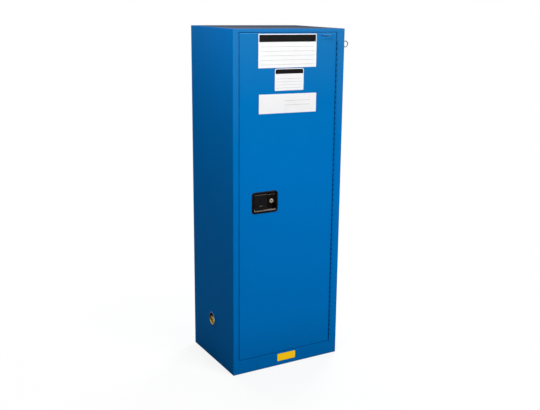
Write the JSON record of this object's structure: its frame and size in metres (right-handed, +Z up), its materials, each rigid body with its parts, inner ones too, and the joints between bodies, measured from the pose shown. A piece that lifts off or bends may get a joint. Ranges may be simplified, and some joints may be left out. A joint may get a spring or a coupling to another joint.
{
  "type": "safety storage cabinet",
  "caption": "Tall narrow double-wall steel cabinet with one self-closing door, recessed paddle latch with bolts, side vents with plugs, lift-off shelves and trays, and a leakproof sump.",
  "frame": {"origin": "centre of the base's underside, on the floor", "axes": "+Z up, +Y towards the back, +X to the right of someone facing the door"},
  "size_m": [0.6303, 0.4702, 1.651],
  "materials": {
    "blue_enamel": "smooth satin powder coat",
    "galvanised": "galvanised, matt",
    "stainless": "brushed stainless steel",
    "brass": "cast and turned, slightly tarnished",
    "black_moulding": "satin moulded",
    "black_rubber": "matt",
    "natural_polyethylene": "waxy, translucent white",
    "white_vinyl": "semi-gloss film",
    "yellow_vinyl": "semi-gloss film"
  },
  "bodies": {
    "cabinet": {"left_side": "blue_enamel", "right_side": "blue_enamel", "top_panel": "blue_enamel", "base_panel": "blue_enamel", "back_panel": "blue_enamel", "inner_left_wall": "blue_enamel", "inner_right_wall": "blue_enamel", "inner_back_wall": "blue_enamel", "inner_ceiling": "blue_enamel", "sump_pan": "blue_enamel", "latch_strikes": "galvanised", "frame_hinge_leaf": "blue_enamel", "hinge_pin": "stainless", "hold_open_eye": "stainless", "eye_nut": "galvanised", "grounding_screw": "brass", "grounding_nut": "galvanised", "vent_socket_left": "blue_enamel", "vent_socket_right": "blue_enamel", "flame_arrester_left": "galvanised", "flame_arrester_right": "galvanised", "shelf_clips": "galvanised", "foot_sockets": "galvanised", "base_sticker": "yellow_vinyl"},
    "door": {"door_outer_skin": "blue_enamel", "door_inner_skin": "blue_enamel", "door_hinge_leaf": "blue_enamel", "hold_open_tab": "blue_enamel", "handle_bezel": "black_moulding", "latch_plate": "galvanised", "cam_pivot": "stainless", "handle_screws": "stainless", "rod_guides": "natural_polyethylene", "lock_barrel": "stainless", "paddle_pin": "stainless", "paddle_return_spring": "stainless", "header_label": "white_vinyl", "middle_label": "white_vinyl", "lower_label": "white_vinyl"},
    "paddle": {"paddle": "black_moulding"},
    "latch_cam": {"latch_cam": "galvanised"},
    "top_bolt": {"top_bolt": "stainless"},
    "bottom_bolt": {"bottom_bolt": "stainless"},
    "side_bolt": {"side_bolt": "stainless"},
    "key_plug": {"key_plug": "stainless"},
    "lower_shelf": {"lower_shelf": "galvanised"},
    "middle_shelf": {"middle_shelf": "galvanised"},
    "upper_shelf": {"upper_shelf": "galvanised"},
    "lower_tray": {"lower_tray": "natural_polyethylene"},
    "middle_tray": {"middle_tray": "natural_polyethylene"},
    "upper_tray": {"upper_tray": "natural_polyethylene"},
    "sump_tray": {"sump_tray": "natural_polyethylene"},
    "vent_plug_left": {"vent_plug_left": "brass"},
    "vent_plug_right": {"vent_plug_right": "brass"},
    "front_left_foot": {"front_left_foot": "black_rubber"},
    "front_right_foot": {"front_right_foot": "black_rubber"},
    "rear_left_foot": {"rear_left_foot": "black_rubber"},
    "rear_right_foot": {"rear_right_foot": "black_rubber"}
  },
  "joints": [
    {"name": "door_swing", "type": "hinge", "parent": "cabinet", "child": "door", "pos_m": [0.25067, -0.2308, 0], "axis": [0, 0, 1], "range_deg": [0, 165], "stiffness_Nm_per_rad": 1.2, "springref_deg": -20.05},
    {"name": "paddle_pull", "type": "hinge", "parent": "door", "child": "paddle", "pos_m": [-0.18068, -0.2216, 0.851], "axis": [0, 0, -1], "range_deg": [0, 35], "stiffness_Nm_per_rad": 0.6, "springref_deg": -11.46},
    {"name": "latch_cam_turn", "type": "hinge", "parent": "door", "child": "latch_cam", "pos_m": [-0.17069, -0.2036, 0.851], "axis": [0, 1, 0], "range_deg": [0, 36]},
    {"name": "top_bolt_draw", "type": "slide", "parent": "door", "child": "top_bolt", "axis": [0, 0, -1], "range_m": [0, 0.01483]},
    {"name": "bottom_bolt_draw", "type": "slide", "parent": "door", "child": "bottom_bolt", "axis": [0, 0, 1], "range_m": [0, 0.01484]},
    {"name": "side_bolt_draw", "type": "slide", "parent": "door", "child": "side_bolt", "axis": [1, 0, 0], "range_m": [0, 0.01484]},
    {"name": "key_turn", "type": "hinge", "parent": "door", "child": "key_plug", "pos_m": [-0.09267, -0.2286, 0.8544], "axis": [0, 1, 0], "range_deg": [0, 90]},
    {"name": "lower_shelf_lift", "type": "slide", "parent": "cabinet", "child": "lower_shelf", "axis": [0, 0, 1], "range_m": [0, 0.03]},
    {"name": "middle_shelf_lift", "type": "slide", "parent": "cabinet", "child": "middle_shelf", "axis": [0, 0, 1], "range_m": [0, 0.03]},
    {"name": "upper_shelf_lift", "type": "slide", "parent": "cabinet", "child": "upper_shelf", "axis": [0, 0, 1], "range_m": [0, 0.03]},
    {"name": "lower_tray_lift", "type": "slide", "parent": "lower_shelf", "child": "lower_tray", "axis": [0, 0, 1], "range_m": [0, 0.06]},
    {"name": "middle_tray_lift", "type": "slide", "parent": "middle_shelf", "child": "middle_tray", "axis": [0, 0, 1], "range_m": [0, 0.06]},
    {"name": "upper_tray_lift", "type": "slide", "parent": "upper_shelf", "child": "upper_tray", "axis": [0, 0, 1], "range_m": [0, 0.06]},
    {"name": "sump_tray_lift", "type": "slide", "parent": "cabinet", "child": "sump_tray", "axis": [0, 0, 1], "range_m": [0, 0.06]},
    {"name": "left_plug_out", "type": "slide", "parent": "cabinet", "child": "vent_plug_left", "axis": [-1, 0, 0], "range_m": [0, 0.035]},
    {"name": "right_plug_out", "type": "slide", "parent": "cabinet", "child": "vent_plug_right", "axis": [1, 0, 0], "range_m": [0, 0.035]},
    {"name": "front_left_foot_screw", "type": "slide", "parent": "cabinet", "child": "front_left_foot", "axis": [0, 0, -1], "range_m": [0, 0.016]},
    {"name": "front_right_foot_screw", "type": "slide", "parent": "cabinet", "child": "front_right_foot", "axis": [0, 0, -1], "range_m": [0, 0.016]},
    {"name": "rear_left_foot_screw", "type": "slide", "parent": "cabinet", "child": "rear_left_foot", "axis": [0, 0, -1], "range_m": [0, 0.016]},
    {"name": "rear_right_foot_screw", "type": "slide", "parent": "cabinet", "child": "rear_right_foot", "axis": [0, 0, -1], "range_m": [0, 0.016]}
  ],
  "couplings": [
    {"joint": "paddle_pull", "follows": "top_bolt_draw", "rad_per_m": 41.183},
    {"joint": "latch_cam_turn", "follows": "top_bolt_draw", "rad_per_m": 42.358},
    {"joint": "bottom_bolt_draw", "follows": "top_bolt_draw", "ratio": 1},
    {"joint": "side_bolt_draw", "follows": "top_bolt_draw", "ratio": 1}
  ]
}
